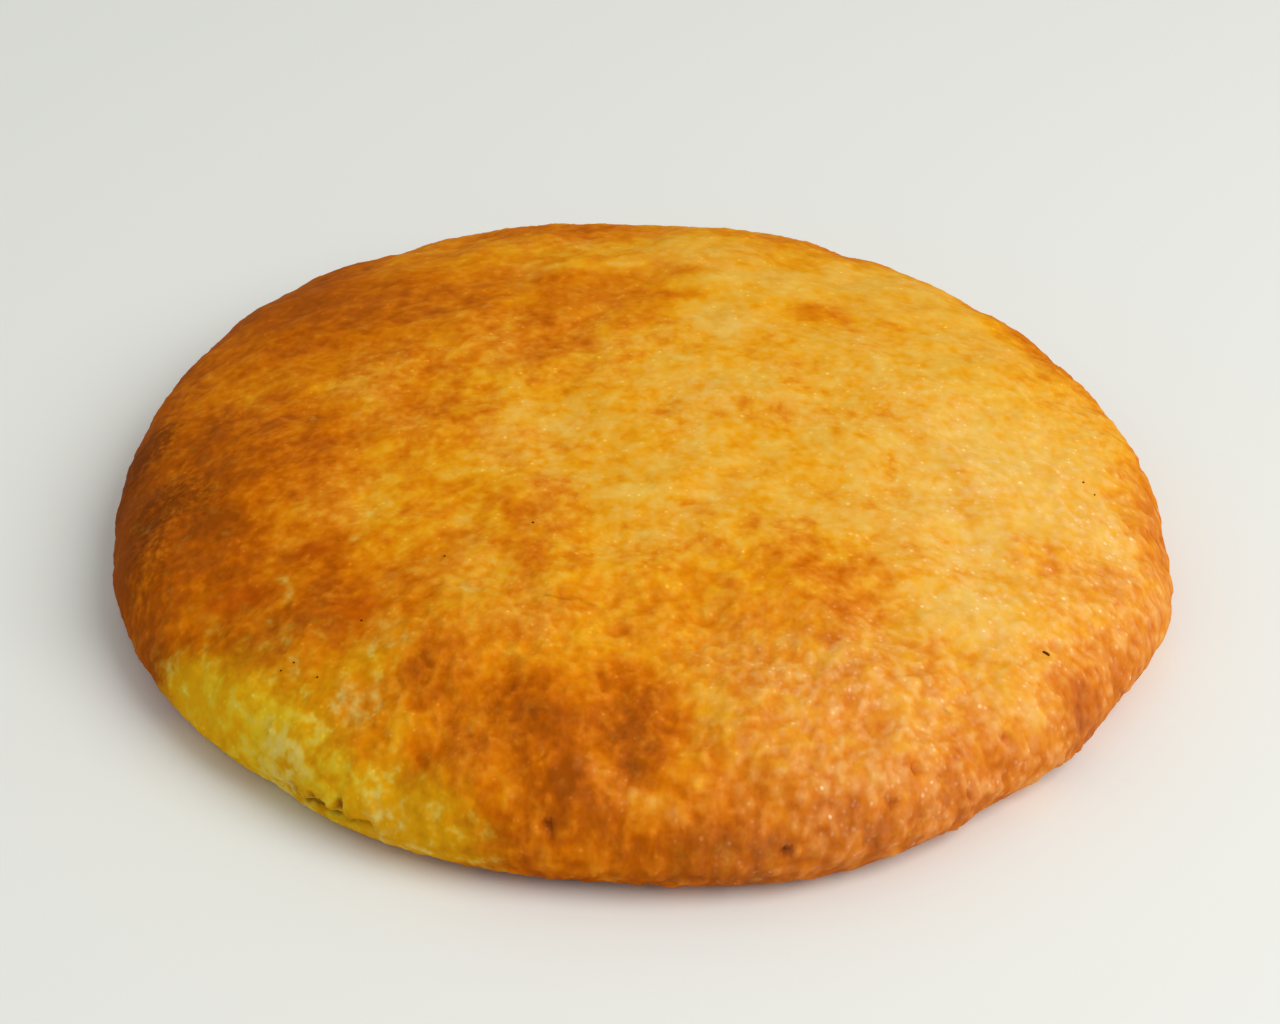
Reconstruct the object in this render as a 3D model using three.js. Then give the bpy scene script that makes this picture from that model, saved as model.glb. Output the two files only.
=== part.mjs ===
// A rice bread: one flat round of rice-and-cheese dough, patted out by hand and baked on its base until the
// top is golden. It is a single uncut piece, so it is one solid: a low dome with a lumpy crust, an edge that
// rolls under, and a flat underside. Millimetres, +Z up, with the origin at the middle of the underside.
import * as THREE from "three";
import { ImprovedNoise } from "three/addons/math/ImprovedNoise.js";
import { mergeGeometries, mergeVertices } from "three/addons/utils/BufferGeometryUtils.js";

// Form of the bread
const BREADTH = 110; // mean distance across, at the widest level of the edge
const HEIGHT = 19; // underside to the top of the dome
const WAIST_HEIGHT = 5; // level at which the edge reaches furthest out
const SHOULDER_HEIGHT = 11; // level above which the crust carries its full relief
const FOOT_INSET = 5; // how far the flat underside stops short of the widest level
const DOME_FULLNESS = 2.4; // 2 is an ellipse, and more is a flatter top with a rounder shoulder

// Hand-patted outline: each wave swells and pinches the edge by its size, one swelling at its direction
const OUTLINE_WAVES = [
  { lobes: 2, size: 1.38, direction: -45 },
  { lobes: 3, size: 0.37, direction: 2 },
  { lobes: 4, size: 0.18, direction: 35 },
  { lobes: 5, size: 0.2, direction: -12 },
  { lobes: 6, size: 0.13, direction: -15 },
  { lobes: 7, size: 0.17, direction: -12 },
];

// Bulges and dents that hands and heat left in the edge: direction and width in degrees, and how far out or in
const EDGE_MARKS = [
  { direction: -131, width: 4, size: -0.7 },
  { direction: -93, width: 11, size: -0.5 },
  { direction: -72, width: 6, size: 0.35 },
  { direction: -52, width: 6, size: -0.6 },
  { direction: -31, width: 4, size: -0.45 },
  { direction: -17, width: 4, size: 0.45 },
  { direction: -5, width: 4, size: -0.4 },
  { direction: 36, width: 4, size: 0.45 },
  { direction: 50, width: 5, size: -0.85 },
  { direction: 69, width: 5, size: 0.6 },
  { direction: 89, width: 6, size: -0.85 },
  { direction: 112, width: 5, size: -0.85 },
  { direction: 128, width: 5, size: 0.65 },
];

// Crust relief: lumps of dough under the skin, down to the crags that show on the front and the edge
const CRUST_LUMPS = [
  { width: 21, height: 0.75 },
  { width: 10, height: 0.5 },
  { width: 4.8, height: 0.5 },
];
const CRAGGY_FRONT = 0.8; // extra share of relief on the front edge, where the crust broke up most
const RELIEF_SEED = 7.3; // slice of the noise that the lumps are read from

// Mesh: rings of triangles in six sectors from the middle of the top, and rings down the rolled-under edge
const TOP_RINGS = 36;
const SECTORS = 6;
const EDGE_RINGS = 5;
const AROUND = SECTORS * TOP_RINGS;
const SEW_DISTANCE = 1e-3;

const CRUST_COLOUR = 0xd98f2e;
const CRUST_ROUGHNESS = 0.55;

// Distance from the middle to the widest level of the edge, in the given direction
function outlineRadius(angle) {
  const turnFrom = (direction) => angle - THREE.MathUtils.degToRad(direction);
  const swell = ({ lobes, size, direction }) => size * Math.cos(lobes * turnFrom(direction));
  const bulge = ({ direction, width, size }) => {
    const aside = (2 * Math.sin(turnFrom(direction) / 2)) / THREE.MathUtils.degToRad(width);
    return size * Math.exp(-(aside ** 2));
  };
  const waves = OUTLINE_WAVES.reduce((sum, wave) => sum + swell(wave), 0);
  return EDGE_MARKS.reduce((sum, mark) => sum + bulge(mark), BREADTH / 2 + waves);
}

// Level of the smooth dome at a share of the way from the middle to the edge
function domeLevel(share) {
  return WAIST_HEIGHT + (HEIGHT - WAIST_HEIGHT) * Math.sqrt(Math.max(0, 1 - share ** DOME_FULLNESS));
}

// Number of the first point of a ring of the upper crust: one point in the middle, then six more on each ring
function firstOfRing(ring) {
  return ring === 0 ? 0 : 1 + (SECTORS / 2) * ring * (ring - 1);
}

// Number of a point on a ring, counted round from the front of the first sector
function pointOfRing(ring, step) {
  return firstOfRing(ring) + (ring === 0 ? 0 : step % (SECTORS * ring));
}

// Upper crust: rings of near-equal triangles from the middle of the dome out to the widest level
function upperCrust() {
  const points = [new THREE.Vector3(0, 0, HEIGHT)];
  const triangles = [];
  for (let ring = 1; ring <= TOP_RINGS; ring++) {
    const share = ring / TOP_RINGS;
    for (let step = 0; step < SECTORS * ring; step++) {
      const angle = (2 * Math.PI * step) / (SECTORS * ring);
      const radius = share * outlineRadius(angle);
      points.push(new THREE.Vector3(radius * Math.cos(angle), radius * Math.sin(angle), domeLevel(share)));
    }
    for (let sector = 0; sector < SECTORS; sector++) {
      for (let step = 0; step < ring; step++) {
        const outer = pointOfRing(ring, sector * ring + step);
        const outerNext = pointOfRing(ring, sector * ring + step + 1);
        const inner = pointOfRing(ring - 1, sector * (ring - 1) + step);
        const innerNext = pointOfRing(ring - 1, sector * (ring - 1) + step + 1);
        triangles.push(inner, outer, outerNext);
        if (step < ring - 1) triangles.push(inner, outerNext, innerNext);
      }
    }
  }
  return new THREE.BufferGeometry().setFromPoints(points).setIndex(triangles);
}

// A ring of points on the edge, from 0 at the widest level to 1 at the foot, on a quarter of an ellipse
function edgeRing(share) {
  const turn = (share * Math.PI) / 2;
  const inset = FOOT_INSET * (1 - Math.cos(turn));
  const level = WAIST_HEIGHT * (1 - Math.sin(turn));
  return Array.from({ length: AROUND }, (_, k) => {
    const angle = (2 * Math.PI * k) / AROUND;
    const radius = outlineRadius(angle) - inset;
    return new THREE.Vector3(radius * Math.cos(angle), radius * Math.sin(angle), level);
  });
}

// Rolled-under edge: rings from the widest level down to the foot, joined by strips of triangles
function rolledEdge() {
  const rings = Array.from({ length: EDGE_RINGS + 1 }, (_, i) => edgeRing(i / EDGE_RINGS));
  const triangles = [];
  for (let ring = 0; ring < EDGE_RINGS; ring++) {
    for (let k = 0; k < AROUND; k++) {
      const above = ring * AROUND + k;
      const aboveNext = ring * AROUND + ((k + 1) % AROUND);
      triangles.push(above, above + AROUND, aboveNext, aboveNext, above + AROUND, aboveNext + AROUND);
    }
  }
  return new THREE.BufferGeometry().setFromPoints(rings.flat()).setIndex(triangles);
}

// Flat underside, facing down, that the bread rests on
function underside() {
  const foot = edgeRing(1).map(({ x, y }) => new THREE.Vector2(x, y));
  const base = new THREE.ShapeGeometry(new THREE.Shape(foot));
  base.index.array.reverse();
  return base;
}

// Height of the crust's lumps over the smooth form at a point
const noise = new ImprovedNoise();
function crustRelief({ x, y, z }) {
  const lumps = CRUST_LUMPS.reduce(
    (sum, { width, height }) => sum + height * noise.noise(x / width, y / width, z / width + RELIEF_SEED),
    0,
  );
  const towardsFront = THREE.MathUtils.smoothstep(-y, 0, BREADTH / 2);
  return lumps * (1 + CRAGGY_FRONT * towardsFront);
}

// Pushes the crust in and out along its normals, less at the edge and not at all at the foot, so that the
// outline keeps its waves and the underside stays flat
function roughen(geometry) {
  geometry.computeVertexNormals();
  const points = geometry.attributes.position;
  const point = new THREE.Vector3();
  const normal = new THREE.Vector3();
  for (let i = 0; i < points.count; i++) {
    point.fromBufferAttribute(points, i);
    normal.fromBufferAttribute(geometry.attributes.normal, i);
    const fade = THREE.MathUtils.smoothstep(point.z, 0, SHOULDER_HEIGHT);
    point.addScaledVector(normal, fade * crustRelief(point));
    points.setXYZ(i, point.x, point.y, point.z);
  }
  geometry.computeVertexNormals();
  return geometry;
}

// Sets the bread down on z = 0 with the middle of its box over the origin
function setDown(geometry) {
  geometry.computeBoundingBox();
  const middle = geometry.boundingBox.getCenter(new THREE.Vector3());
  return geometry.translate(-middle.x, -middle.y, -geometry.boundingBox.min.z);
}

// One closed skin, sewn from the top, the edge and the underside
function breadGeometry() {
  const pieces = [upperCrust(), rolledEdge(), underside()];
  for (const piece of pieces) {
    piece.deleteAttribute("normal");
    piece.deleteAttribute("uv");
  }
  return setDown(roughen(mergeVertices(mergeGeometries(pieces), SEW_DISTANCE)));
}

const bread = new THREE.Mesh(
  breadGeometry(),
  new THREE.MeshStandardMaterial({ color: CRUST_COLOUR, roughness: CRUST_ROUGHNESS, metalness: 0 }),
);
bread.name = "rice_bread";

const part = new THREE.Group();
part.add(bread);

export default part;
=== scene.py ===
import math

import bmesh
import bpy
import numpy as np
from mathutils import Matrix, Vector


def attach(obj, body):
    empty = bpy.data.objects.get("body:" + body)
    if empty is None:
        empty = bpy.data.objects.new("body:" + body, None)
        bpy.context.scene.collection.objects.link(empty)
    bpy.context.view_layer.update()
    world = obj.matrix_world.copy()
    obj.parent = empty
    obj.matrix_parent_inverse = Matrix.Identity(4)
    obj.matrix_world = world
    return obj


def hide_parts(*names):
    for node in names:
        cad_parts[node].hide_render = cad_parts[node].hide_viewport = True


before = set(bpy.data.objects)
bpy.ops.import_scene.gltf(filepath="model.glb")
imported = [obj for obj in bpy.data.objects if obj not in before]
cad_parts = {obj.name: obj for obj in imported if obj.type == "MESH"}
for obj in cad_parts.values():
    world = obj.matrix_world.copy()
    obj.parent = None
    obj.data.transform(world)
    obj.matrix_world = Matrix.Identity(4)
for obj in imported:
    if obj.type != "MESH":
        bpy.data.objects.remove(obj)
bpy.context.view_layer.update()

# Baked dough
# The bread is one round of rice-and-cheese dough, patted out by hand and set by the oven into a single uncut
# piece. A fine copy of the solid is the body that carries the relief of the crust.
MM = 0.001
SOLID = "rice_bread"
CUTS_PER_EDGE = 3
SEW_DISTANCE = 0.001 * MM

dough = bmesh.new()
dough.from_mesh(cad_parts[SOLID].data)
bmesh.ops.remove_doubles(dough, verts=dough.verts, dist=SEW_DISTANCE)
bmesh.ops.subdivide_edges(dough, edges=dough.edges[:], cuts=CUTS_PER_EDGE, use_grid_fill=True)
body = bpy.data.meshes.new("baked_dough")
dough.to_mesh(body)
dough.free()

places = np.empty(3 * len(body.vertices), np.float32)
body.vertices.foreach_get("co", places)
places = places.reshape(-1, 3) / MM
east, north, level = places.T


def keep(name, values):
    """Keeps a number for each point of the dough, for the relief and the finish to read."""
    layer = body.attributes.new(name, "FLOAT", "POINT")
    layer.data.foreach_set("value", values.astype(np.float32))


def step(values, low, high):
    """Rises smoothly from 0 at low to 1 at high, which may be the smaller of the two."""
    share = np.clip((values - low) / (high - low), 0, 1)
    return share * share * (3 - 2 * share)


OVAL_CRISPNESS = 1.5
FULL_WITHIN = 0.2


def patches(rows):
    """Soft ovals seen from above, added up: middle x and y, reach along and across, heading and strength."""
    total = np.zeros(len(places))
    for x, y, along, across, heading, strength in rows:
        turn = math.radians(heading)
        forward = (east - x) * math.cos(turn) + (north - y) * math.sin(turn)
        sideways = (north - y) * math.cos(turn) - (east - x) * math.sin(turn)
        far = (forward / along) ** 2 + (sideways / across) ** 2
        total += strength * np.exp(-(far**OVAL_CRISPNESS))
    return total


def path_distance(points):
    """The distance from each point of the dough to a path through the given places, in millimetres."""
    nearest = np.full(len(places), np.inf)
    for start, end in zip(points, points[1:]):
        start = np.array(start)
        run = np.array(end) - start
        share = np.clip((places - start) @ run / (run @ run), 0, 1)
        nearest = np.minimum(nearest, np.linalg.norm(places - start - share[:, None] * run, axis=1))
    return nearest


def near(points, reach):
    """1 along a path through the given places, falling smoothly to 0 at its reach."""
    return step(path_distance(points), reach, FULL_WITHIN * reach)


# Crust relief
# The skin broke into curds and worm-like flakes where the front and the edges baked hardest, tore along its
# lower edge at the front left, split and let steam out through small pits. The top stayed smoother.
CURD_WIDTH = 1.9
CURD_DROP = 2.4
CURD_HEIGHT = 0.27
FLAKE_WIDTH = 1.5
FLAKE_HEIGHT = 0.15
LUMP_WIDTH = 4.2
LUMP_HEIGHT = 0.40
GRANULE_WIDTH = 1.05
GRANULE_HEIGHT = 0.13
GRANULES_ON_TOP = 0.35
CRUMB_WIDTH = 1.4
CRUMB_HEIGHT = 1.5
CLOUD_WIDTH = 7.0
FLAT_BASE = 0.3
FULL_RELIEF_LEVEL = 2.6
FACET_ROUNDING = 8

# How craggy the skin is: a little everywhere, and more towards each side, over the stretch that is given
CRAGS_EVERYWHERE = 0.15
CRAGGY_SIDES = [
    (0.75, north, -18, -38),
    (0.55, east, 30, 48),
    (0.30, east, -40, -50),
    (0.30, north, 25, 45),
]
crags = CRAGS_EVERYWHERE
for more, places_along, start, full in CRAGGY_SIDES:
    crags = crags + more * step(places_along, start, full)

# Steam pits, dimples and the notches in the torn edge: middle x, y and z, lean, length, reach and depth
PITS = [
    (-8.2, -52.7, 8.8, -55, 1.2, 0.7, 1.0),
    (13.8, -53.2, 5.4, -50, 1.2, 0.7, 1.0),
    (10.5, -53.7, 6.2, -35, 0.9, 0.6, 0.8),
    (18.8, -51.7, 6.5, 20, 0.8, 0.7, 0.9),
    (21.1, -51.5, 5.1, -20, 1.0, 0.8, 0.8),
    (25.6, -46.6, 10.0, -60, 0.8, 0.7, 0.7),
    (31.0, -45.5, 6.5, 60, 0.9, 0.6, 0.8),
    (23.0, -49.7, 9.0, -40, 0.7, 0.6, 0.6),
    (34.4, -40.9, 9.1, 70, 0.6, 0.6, 0.7),
    (39.6, -31.1, 12.0, 80, 1.4, 0.8, 0.5),
    (43.4, -29.1, 10.0, 10, 1.4, 0.8, 0.6),
    (42.3, -33.6, 8.2, 30, 2.4, 1.3, 0.35),
    (6.5, -32.3, 16.2, 0, 1.6, 1.0, 0.3),
    (-2.3, -34.4, 16.5, 10, 1.4, 1.0, 0.3),
    (-33.2, -42.4, 3.8, 15, 1.6, 0.9, 0.8),
    (-30.0, -44.7, 3.9, -10, 1.2, 0.9, 0.9),
    (-27.6, -46.1, 4.8, 70, 1.2, 0.8, 1.0),
    (-25.2, -47.6, 3.6, 0, 1.4, 0.9, 0.9),
]
pits = np.zeros(len(places))
for x, y, z, lean, length, reach, depth in PITS:
    around = math.atan2(y, x)
    slant = math.radians(lean)
    along_rim = np.array((-math.sin(around), math.cos(around), 0))
    half = 0.5 * length * (math.cos(slant) * along_rim + math.sin(slant) * np.array((0, 0, 1)))
    middle = np.array((x, y, z))
    pits = np.maximum(pits, depth * near([middle - half, middle + half], reach))

# Short splits in the skin that show the raw dough under it
SPLITS = [
    [(-25.2, -13.8, 16.9), (-26.1, -16.2, 16.7), (-26.4, -18.4, 16.6), (-27.6, -20.0, 16.2)],
    [(-27.2, -13.4, 16.6), (-26.1, -15.8, 16.7)],
    [(-32.4, -23.3, 15.0), (-33.2, -24.9, 14.7), (-33.3, -26.9, 14.3), (-34.0, -27.3, 13.9)],
    [(-34.4, -23.5, 14.5), (-33.2, -24.7, 14.7)],
    [(-40.6, -26.1, 11.4), (-41.3, -26.9, 10.7), (-41.4, -28.5, 10.0)],
    [(-17.1, -27.0, 17.2), (-15.5, -28.3, 17.3), (-14.3, -26.9, 17.2)],
    [(-15.8, -31.5, 17.3), (-15.5, -34.0, 16.6)],
]
SPLIT_REACH = 1.0
SPLIT_RAW = 0.38
SPLIT_CREAMY = 0.3
SPLIT_DEPTH = 0.10
split = np.zeros(len(places))
for path in SPLITS:
    split = np.maximum(split, 1 - path_distance(path) / SPLIT_REACH)

# Wedge at the front left where the skin stayed raw and crumbly, and pale strands in the middle. The lower
# edge of the wedge tore into larger crumbs as the dough spread, over a gap that is painted dark with shade.
RAW_PATCHES = [
    (-38.5, -37.5, 13, 4.5, -38, 0.75),
    (-34, -35, 11, 6.5, -38, 0.28),
    (-43.5, -31.5, 4.5, 3, -55, 0.40),
    (-22, -49.5, 10, 4, -28, 0.80),
    (-26.5, -38, 4.2, 4.5, 0, 0.34),
    (-23.2, -34.2, 3.6, 2.8, 20, 0.34),
    (-15, -29.5, 3, 4, 90, 0.36),
    (-0.1, -21.2, 2.2, 1.5, 0, 0.42),
    (0.8, -14.6, 3.4, 1.3, 70, 0.34),
]
TORN_EDGE = [
    (-41.5, -34.0, 3.0),
    (-37.0, -39.0, 3.2),
    (-33.1, -42.4, 3.4),
    (-29.6, -44.7, 3.6),
    (-25.0, -47.6, 3.6),
]
TORN_REACH = 3.4
TORN_WEDGE = 0.45
CURDS_LOST_RAW = 0.7
TORN_END = (-24, -29)
LIP_DROP = 1.0
LIP_REACH = 1.7
LIP_DEPTH = 0.9
PITS_SHADE_OVER_RAW = 0.9
UNDERSIDE_LEVEL = 0.05
underside = level < UNDERSIDE_LEVEL
raw = np.maximum(patches(RAW_PATCHES), SPLIT_RAW * split)
# Pits show the browned bake instead of raw dough, painted as shade in them
raw *= 1 - np.clip(PITS_SHADE_OVER_RAW * pits, 0, 1)
raw[underside] = 0
keep("raw", raw)
keep("crags", np.clip(crags, 0, 1) * (1 - CURDS_LOST_RAW * np.clip(raw, 0, 1)))
keep("torn", np.maximum(near(TORN_EDGE, TORN_REACH), TORN_WEDGE * np.clip(raw, 0, 1)))
under_lip = [(x, y, z - LIP_DROP) for x, y, z in TORN_EDGE]
lip = near(under_lip, LIP_REACH)

# Fold of dough, raised and oilier than the skin round it and painted lighter along it as a highlight, that
# slants down from the hot spot on the front
FOLD = [(-4.6, -48.2, 12.0), (-1.4, -50.4, 10.6), (3.2, -52.1, 9.6)]
FOLD_REACH = 1.9
FOLD_RISE = 0.22
FOLD_HIGHLIGHT = 0.14
FOLD_OILY = 0.35
fold = near(FOLD, FOLD_REACH)

# Thin cracks, and the gap under the torn edge, both painted dark in the finish as shade in them
CRACKS = [
    [(-8.6, -30.5, 17.6), (-7.7, -30.9, 17.8), (-5.5, -30.9, 17.6), (-3.8, -31.4, 17.2)],
    [(28.0, -40.0, 11.8), (29.0, -40.5, 11.5)],
]
CRACK_REACH = 0.45
CRACK_SHOWN = 0.5
CRACK_DEPTH = 0.12
GAP_NARROWING = 3
shaded_crack = np.zeros(len(places))
for path in CRACKS:
    shaded_crack = np.maximum(shaded_crack, CRACK_SHOWN * step(path_distance(path), CRACK_REACH, 0))
shaded_crack = np.maximum(shaded_crack, lip**GAP_NARROWING * step(east, *TORN_END))
keep("shaded_crack", shaded_crack)
keep("sunk", pits + LIP_DEPTH * lip + SPLIT_DEPTH * split + CRACK_DEPTH * shaded_crack - FOLD_RISE * fold)


def add(tree, kind, fill=None, out=0, **settings):
    """Adds a node with its settings, fills its inputs with values or outputs, and gives back an output."""
    node = tree.nodes.new(kind)
    for name, value in settings.items():
        setattr(node, name, value)
    for key, value in (fill or {}).items():
        if isinstance(value, bpy.types.NodeSocket):
            tree.links.new(value, node.inputs[key])
        else:
            node.inputs[key].default_value = value
    return node.outputs[out] if node.outputs else None


relief = bpy.data.node_groups.new("crust_relief", "GeometryNodeTree")
relief.interface.new_socket("Dough", in_out="INPUT", socket_type="NodeSocketGeometry")
relief.interface.new_socket("Crust", in_out="OUTPUT", socket_type="NodeSocketGeometry")
RELIEF_SIZES = {
    "Curd Width": CURD_WIDTH * MM,
    "Curd Drop": CURD_DROP * MM,
    "Curd Height": CURD_HEIGHT * MM,
    "Flake Width": FLAKE_WIDTH * MM,
    "Flake Height": FLAKE_HEIGHT * MM,
    "Lump Width": LUMP_WIDTH * MM,
    "Lump Height": LUMP_HEIGHT * MM,
    "Granule Width": GRANULE_WIDTH * MM,
    "Granule Height": GRANULE_HEIGHT * MM,
    "Crumb Width": CRUMB_WIDTH * MM,
    "Crumb Height": CRUMB_HEIGHT * MM,
    "Cloud Width": CLOUD_WIDTH * MM,
}
size_sockets = {}
for name in RELIEF_SIZES:
    size_sockets[name] = relief.interface.new_socket(name, in_out="INPUT", socket_type="NodeSocketFloat")
given = relief.nodes.new("NodeGroupInput").outputs
here = add(relief, "GeometryNodeInputPosition")
height_here = add(relief, "ShaderNodeSeparateXYZ", {"Vector": here}, out="Z")
off_base = add(
    relief,
    "FunctionNodeCompare",
    {"A": height_here, "B": FLAT_BASE * MM},
    data_type="FLOAT",
    operation="GREATER_THAN",
)
rounded = add(
    relief,
    "GeometryNodeBlurAttribute",
    {"Value": here, "Iterations": FACET_ROUNDING, "Weight": off_base},
    data_type="FLOAT_VECTOR",
)
smooth_body = add(relief, "GeometryNodeSetPosition", {"Geometry": given["Dough"], "Position": rounded})

# Curds and the granules on them: lumps drawn out down the slopes, with their rims bent by a noise, each with
# a shade of its own and standing half above the skin
LUMP_SMOOTHNESS = 0.3
LUMP_CROWN = 0.05
LUMP_FOOT = 0.75
LUMP_LEVELS = (0.5, -0.5)
NOISE_MIDDLE = 0.5
curd_width = given["Curd Width"]
drop_ratio = add(relief, "ShaderNodeMath", {0: curd_width, 1: given["Curd Drop"]}, operation="DIVIDE")
draw_out = add(relief, "ShaderNodeCombineXYZ", {"X": 1.0, "Y": 1.0, "Z": drop_ratio})
drawn_place = add(relief, "ShaderNodeVectorMath", {0: here, 1: draw_out}, operation="MULTIPLY")
curd_scale = add(relief, "ShaderNodeMath", {0: 1.0, 1: curd_width}, operation="DIVIDE")
bend = add(
    relief,
    "ShaderNodeTexNoise",
    {"Vector": drawn_place, "Scale": curd_scale, "Detail": 1.0},
    out="Color",
)
bend_by = add(relief, "ShaderNodeVectorMath", {0: bend, "Scale": curd_width}, operation="SCALE")
bent_place = add(relief, "ShaderNodeVectorMath", {0: drawn_place, 1: bend_by}, operation="ADD")
granule_scale = add(relief, "ShaderNodeMath", {0: 1.0, 1: given["Granule Width"]}, operation="DIVIDE")
lumpy = {}
shades = {}
for name, scale in [("curds", curd_scale), ("granules", granule_scale)]:
    distance = add(
        relief,
        "ShaderNodeTexVoronoi",
        {"Vector": bent_place, "Scale": scale, "Smoothness": LUMP_SMOOTHNESS},
        feature="SMOOTH_F1",
    )
    lumpy[name] = add(
        relief,
        "ShaderNodeMapRange",
        {
            "Value": distance,
            "From Min": LUMP_CROWN,
            "From Max": LUMP_FOOT,
            "To Min": LUMP_LEVELS[0],
            "To Max": LUMP_LEVELS[1],
        },
        interpolation_type="SMOOTHSTEP",
    )
    shade = distance.node.outputs["Color"]
    shades[name + "_shade"] = add(
        relief, "ShaderNodeMath", {0: shade, 1: NOISE_MIDDLE}, operation="SUBTRACT"
    )

# Flakes: narrow winding ridges where a noise passes through its middle value, twice in each of its waves
WAVES_PER_FLAKE = 0.5
FLAKE_FINENESS = 0.4
FLAKE_WINDING = 0.8
FLAKE_FOOT = 0.13
FLAKE_LEVELS = (0.6, -0.4)
flake_width = given["Flake Width"]
flake_scale = add(relief, "ShaderNodeMath", {0: WAVES_PER_FLAKE, 1: flake_width}, operation="DIVIDE")
flake_noise = add(
    relief,
    "ShaderNodeTexNoise",
    {
        "Vector": here,
        "Scale": flake_scale,
        "Detail": 1.0,
        "Roughness": FLAKE_FINENESS,
        "Distortion": FLAKE_WINDING,
    },
)
off_middle = add(relief, "ShaderNodeMath", {0: flake_noise, 1: NOISE_MIDDLE}, operation="SUBTRACT")
from_middle = add(relief, "ShaderNodeMath", {0: off_middle}, operation="ABSOLUTE")
flakes = add(
    relief,
    "ShaderNodeMapRange",
    {"Value": from_middle, "From Max": FLAKE_FOOT, "To Min": FLAKE_LEVELS[0], "To Max": FLAKE_LEVELS[1]},
    interpolation_type="SMOOTHSTEP",
)

# Lumps, crumbs and clouds: one noise each, at its own width
noises = {}
for name, detail in [("Lump", 1.0), ("Crumb", 2.5), ("Cloud", 2.0)]:
    scale = add(relief, "ShaderNodeMath", {0: 1.0, 1: given[name + " Width"]}, operation="DIVIDE")
    noise = add(relief, "ShaderNodeTexNoise", {"Vector": here, "Scale": scale, "Detail": detail})
    noises[name] = add(relief, "ShaderNodeMath", {0: noise, 1: NOISE_MIDDLE}, operation="SUBTRACT")

# All of it put together, faded out towards the flat underside
craggy = add(relief, "GeometryNodeInputNamedAttribute", {"Name": "crags"}, data_type="FLOAT")
torn = add(relief, "GeometryNodeInputNamedAttribute", {"Name": "torn"}, data_type="FLOAT")
sunk = add(relief, "GeometryNodeInputNamedAttribute", {"Name": "sunk"}, data_type="FLOAT")
granular = add(relief, "ShaderNodeMapRange", {"Value": craggy, "To Min": GRANULES_ON_TOP, "To Max": 1.0})
rise = add(relief, "ShaderNodeMath", {0: sunk, 1: -MM}, operation="MULTIPLY")
for pattern, height, share in [
    (lumpy["curds"], "Curd Height", craggy),
    (lumpy["granules"], "Granule Height", granular),
    (flakes, "Flake Height", craggy),
    (noises["Crumb"], "Crumb Height", torn),
    (noises["Lump"], "Lump Height", 1.0),
]:
    whole = add(relief, "ShaderNodeMath", {0: pattern, 1: given[height]}, operation="MULTIPLY")
    rise = add(relief, "ShaderNodeMath", {0: whole, 1: share, 2: rise}, operation="MULTIPLY_ADD")
base_fade = add(
    relief,
    "ShaderNodeMapRange",
    {"Value": height_here, "From Min": FLAT_BASE * MM, "From Max": FULL_RELIEF_LEVEL * MM},
    interpolation_type="SMOOTHSTEP",
)
faded_rise = add(relief, "ShaderNodeMath", {0: rise, 1: base_fade}, operation="MULTIPLY")
outward = add(relief, "GeometryNodeInputNormal")
push = add(relief, "ShaderNodeVectorMath", {0: outward, "Scale": faded_rise}, operation="SCALE")
marked_body = smooth_body
for name, value in [("clouds", noises["Cloud"]), ("flakes", flakes), *lumpy.items(), *shades.items()]:
    marked_body = add(
        relief,
        "GeometryNodeStoreNamedAttribute",
        {"Geometry": marked_body, "Name": name, "Value": value},
        data_type="FLOAT",
        domain="POINT",
    )
craggy_body = add(relief, "GeometryNodeSetPosition", {"Geometry": marked_body, "Offset": push})
one_body = add(relief, "GeometryNodeRealizeInstances", {"Geometry": craggy_body})
soft_shaded = add(relief, "GeometryNodeSetShadeSmooth", {"Geometry": one_body, "Shade Smooth": True})
crust = bpy.data.materials.new("baked_rice_dough_crust")
finished = add(relief, "GeometryNodeSetMaterial", {"Geometry": soft_shaded, "Material": crust})
add(relief, "NodeGroupOutput", {"Crust": finished})

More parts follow.
